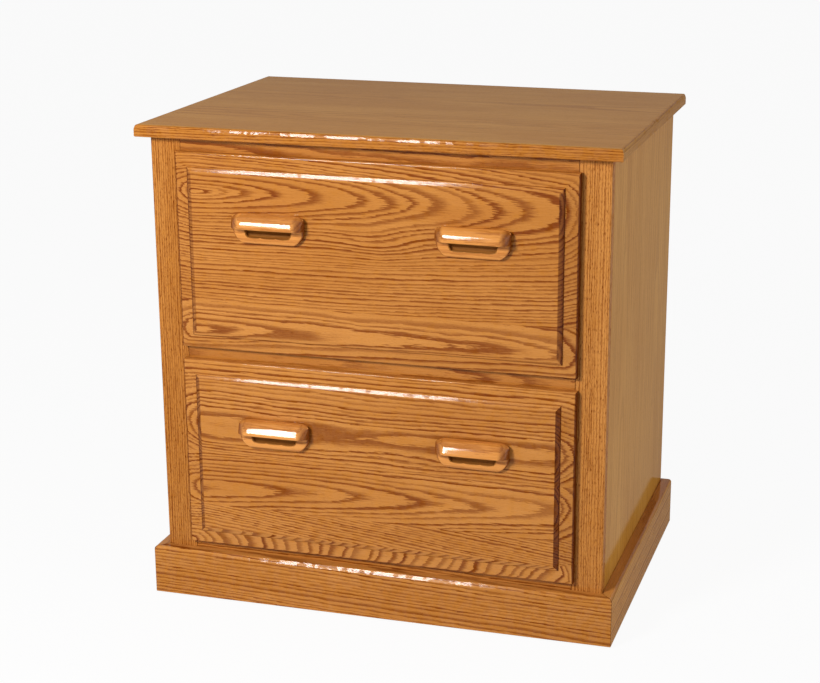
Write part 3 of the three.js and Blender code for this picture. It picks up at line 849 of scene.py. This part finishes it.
for node, (material, slot, radius) in caseBoards.items():
    board = easedCopy(node, radius)
    if node == "front_plinth":
        cutArris(board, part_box(node)[0].y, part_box(node)[1].z)
    addPiece(camel(node), board, material, "cabinet", slot, node)

# Top: solid lippings, rolled over into the veneered face
topEdges = dict(
    roll=((4, 0.8), (12, 0.8), (25, 0.8), (40, 0.9), (56, 0.9), (68, 0.8), (73, 3.4), (78, 0.9),
          (84, 0.8)),
    easing=0.002,
)


def topPanel():
    low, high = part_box("top_panel")
    outline = rollOff(0.0, 0.0, topEdges["roll"])
    outline = [(inset - outline[0][0], out) for inset, out in outline]
    shape = boxShape(low, (high.x, high.y, high.z + outline[0][1]))
    under = [e for e in shape.edges if all(v.co.z < low.z + tolerance for v in e.verts)]
    ease(shape, under, topEdges["easing"], 3)
    insetAlong(shape, max(shape.faces, key=lambda f: f.calc_center_median().z), outline)
    trim = outline[-1][0] + cutPast
    cutAt(shape, 0, low.x + trim, high.x - trim)
    cutAt(shape, 1, low.y + trim, high.y - trim)
    shape.normal_update()
    for face in shape.faces:
        lipping = 2 if abs(face.normal.x) > abs(face.normal.y) else 1
        face.material_index = lipping if abs(face.normal.z) < 0.9 else 0
    addPiece("topPanel", shape, [topVeneer, lippingOak, endLippingOak], "cabinet", "oak_veneer",
             "top_panel", smooth=30.0)


topPanel()
print("case done")

# Boards and metalwork out of sight, by the end of the node's name
innerBoards = {
    "rear_plinth": (plinthOak, "oak_solid", 0.0006),
    "back_panel": (uprightPly, "plywood", 0.0003),
    "bottom_panel": (flatPly, "plywood", 0.0004),
    "box_bottom": (flatPly, "plywood", 0.0003),
    "box_front": (mapleAlongX, "maple", 0.0012),
    "box_back": (mapleAlongX, "maple", 0.0012),
    "box_left": (mapleAlongY, "maple", 0.0012),
    "box_right": (mapleAlongY, "maple", 0.0012),
    "top_cleat": (mapleLaidFlat, "maple", 0.0010),
    "slide_spacer": (mapleAlongY, "maple", 0.0008),
    "corner_block": (mapleAlongZ, "maple", 0.0012),
    "_slide": (slideZinc, "slide_steel", 0.0003),
    "file_rail": (railZinc, "rail_steel", 0.0008),
    "glide": (glideNylon, "glide_nylon", 0.0006),
}

for node in frame["nodes"]:
    for ending, (material, slot, radius) in innerBoards.items():
        if node.endswith(ending):
            body = frame["nodes"][node]["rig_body"]
            addPiece(camel(node), easedCopy(node, radius), material, body, slot, node)
print("inside done")

# Screws, staples and pads, gathered by the body that they ride on
screwHead = dict(radius=0.0042, taper=0.8, height=0.0018, easing=0.0007, sides=20, crossWide=0.0005,
                 crossReach=0.0023, crossDeep=0.0011, spin=(37.0, 53.0, 71.0))


def headShape():  # stands on z = 0
    p = screwHead
    shape = bmesh.new()
    bmesh.ops.create_cone(shape, cap_ends=True, segments=p["sides"], radius1=p["radius"],
                          radius2=p["radius"] * p["taper"], depth=p["height"])
    bmesh.ops.translate(shape, vec=(0.0, 0.0, p["height"] / 2), verts=shape.verts)
    crown = max(shape.faces, key=lambda f: f.calc_center_median().z)
    ease(shape, list(crown.edges), p["easing"], 3)
    for axis in (0, 1):
        for place in (p["crossWide"], p["crossReach"]):
            cutAt(shape, axis, -place, place)
    cross = []
    shape.normal_update()
    for face in shape.faces:
        middle = face.calc_center_median()
        inside = max(abs(middle.x), abs(middle.y)) < p["crossReach"]
        if inside and min(abs(middle.x), abs(middle.y)) < p["crossWide"] and face.normal.z > 0.9:
            cross.append(face)
    pushOut(shape, cross, (0.0, 0.0, -p["crossDeep"]))
    return shape


def gather(makeOne, places):  # one mesh from a shape put at many places
    pattern = bpy.data.meshes.new("pattern")
    single = makeOne()
    single.to_mesh(pattern)
    single.free()
    total = bmesh.new()
    for place in places:
        old = set(total.verts)
        total.from_mesh(pattern)
        bmesh.ops.transform(total, matrix=place, verts=[v for v in total.verts if v not in old])
    bpy.data.meshes.remove(pattern)
    return total


def standing(x, y, z, facing):  # from z up to the way that a thing faces, with a turn of its own
    turn = Vector(facing).to_track_quat("Z", "Y").to_matrix().to_4x4()
    spin = Matrix.Rotation(Vector((x, y, z)).dot(Vector(screwHead["spin"])) % math.pi, 4, "Z")
    return Matrix.Translation((x, y, z)) @ turn @ spin


screwPlaces = dict(
    frontX=(-0.225, 0.225),
    frontUp=(0.045, 0.205),
    pullX=(-0.038, 0.038),
    slideY=(-0.205, 0.02, 0.225),
    slideWeb=0.0012,
    cleatX=(-0.29, -0.10, 0.10, 0.29),
    blockUp=(0.02, 0.045),
)

for drawer in ("upper", "lower"):
    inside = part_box(drawer + "_box_front")[1].y
    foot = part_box(drawer + "_box_front")[0].z
    places = [standing(x, inside, foot + up, (0, 1, 0))
              for x in screwPlaces["frontX"] for up in screwPlaces["frontUp"]]
    for side in ("left", "right"):
        low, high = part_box(drawer + "_" + side + "_pull")
        places += [standing((low.x + high.x) / 2 + x, inside, (low.z + high.z) / 2, (0, 1, 0))
                   for x in screwPlaces["pullX"]]
        low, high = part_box(drawer + "_" + side + "_inner_slide")
        outward = -1 if side == "left" else 1
        web = (high.x if side == "left" else low.x) + outward * screwPlaces["slideWeb"]
        places += [standing(web, y, (low.z + high.z) / 2, (outward, 0, 0)) for y in screwPlaces["slideY"]]
    heads = gather(headShape, places)
    addPiece(drawer + "DrawerScrews", heads, screwBrass, drawer + "_drawer", "slide_steel")

places = []
for end in ("front", "rear"):
    low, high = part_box(end + "_top_cleat")
    places += [standing(x, (low.y + high.y) / 2, low.z, (0, 0, -1)) for x in screwPlaces["cleatX"]]
    for side, outward in (("left", -1), ("right", 1)):
        low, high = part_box(end + "_" + side + "_corner_block")
        inner = high.x if side == "left" else low.x
        places += [standing(inner, (low.y + high.y) / 2, low.z + up, (-outward, 0, 0))
                   for up in screwPlaces["blockUp"]]
addPiece("caseScrews", gather(headShape, places), screwBrass, "cabinet", "slide_steel")

staple = dict(crown=0.0105, wide=0.0011, proud=0.00045, sunk=0.001, easing=0.0002, inFromEdge=0.009,
              fromCorner=0.03, spacing=0.095, crooked=6)


def stapleShape():  # lies along x and stands on z = 0
    p = staple
    halfCrown, halfWide = p["crown"] / 2, p["wide"] / 2
    shape = boxShape((-halfCrown, -halfWide, -p["sunk"]), (halfCrown, halfWide, p["proud"]))
    ease(shape, [e for e in shape.edges if all(v.co.z > 0 for v in e.verts)], p["easing"])
    return shape


def staplePlaces():
    low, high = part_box("back_panel")
    edge, corner, crooked = staple["inFromEdge"], staple["fromCorner"], staple["crooked"]
    flat = Matrix.Rotation(math.radians(-90), 4, "X")
    places = []
    for axis, level in ((0, low.z + edge), (0, high.z - edge), (2, low.x + edge), (2, high.x - edge)):
        reach = high[axis] - low[axis] - corner * 2
        count = round(reach / staple["spacing"])
        for step in range(count + 1):
            run = low[axis] + corner + reach * step / count
            point = (run, high.y, level) if axis == 0 else (level, high.y, run)
            turn = step * 47 % (2 * crooked + 1) - crooked + (90 if axis == 2 else 0)
            places.append(Matrix.Translation(point) @ Matrix.Rotation(math.radians(turn), 4, "Y") @ flat)
    return places


addPiece("backStaples", gather(stapleShape, staplePlaces()), slideZinc, "cabinet", "slide_steel")

pad = dict(radius=0.0055, thick=0.0004, sides=24, easing=0.00015, inFromEdge=0.009)


def padShape():  # stands on z = 0
    shape = bmesh.new()
    bmesh.ops.create_cone(shape, cap_ends=True, segments=pad["sides"], radius1=pad["radius"],
                          radius2=pad["radius"], depth=pad["thick"])
    bmesh.ops.translate(shape, vec=(0.0, 0.0, pad["thick"] / 2), verts=shape.verts)
    crown = max(shape.faces, key=lambda f: f.calc_center_median().z)
    ease(shape, list(crown.edges), pad["easing"])
    return shape


for drawer in ("upper", "lower"):
    low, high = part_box(drawer + "_drawer_front")
    edge = pad["inFromEdge"]
    places = [standing(x, high.y, z, (0, 1, 0)) for x in (low.x + edge, high.x - edge)
              for z in (low.z + edge, high.z - edge)]
    addPiece(drawer + "DrawerPads", gather(padShape, places), padFelt, drawer + "_drawer", None)
print("small things done")
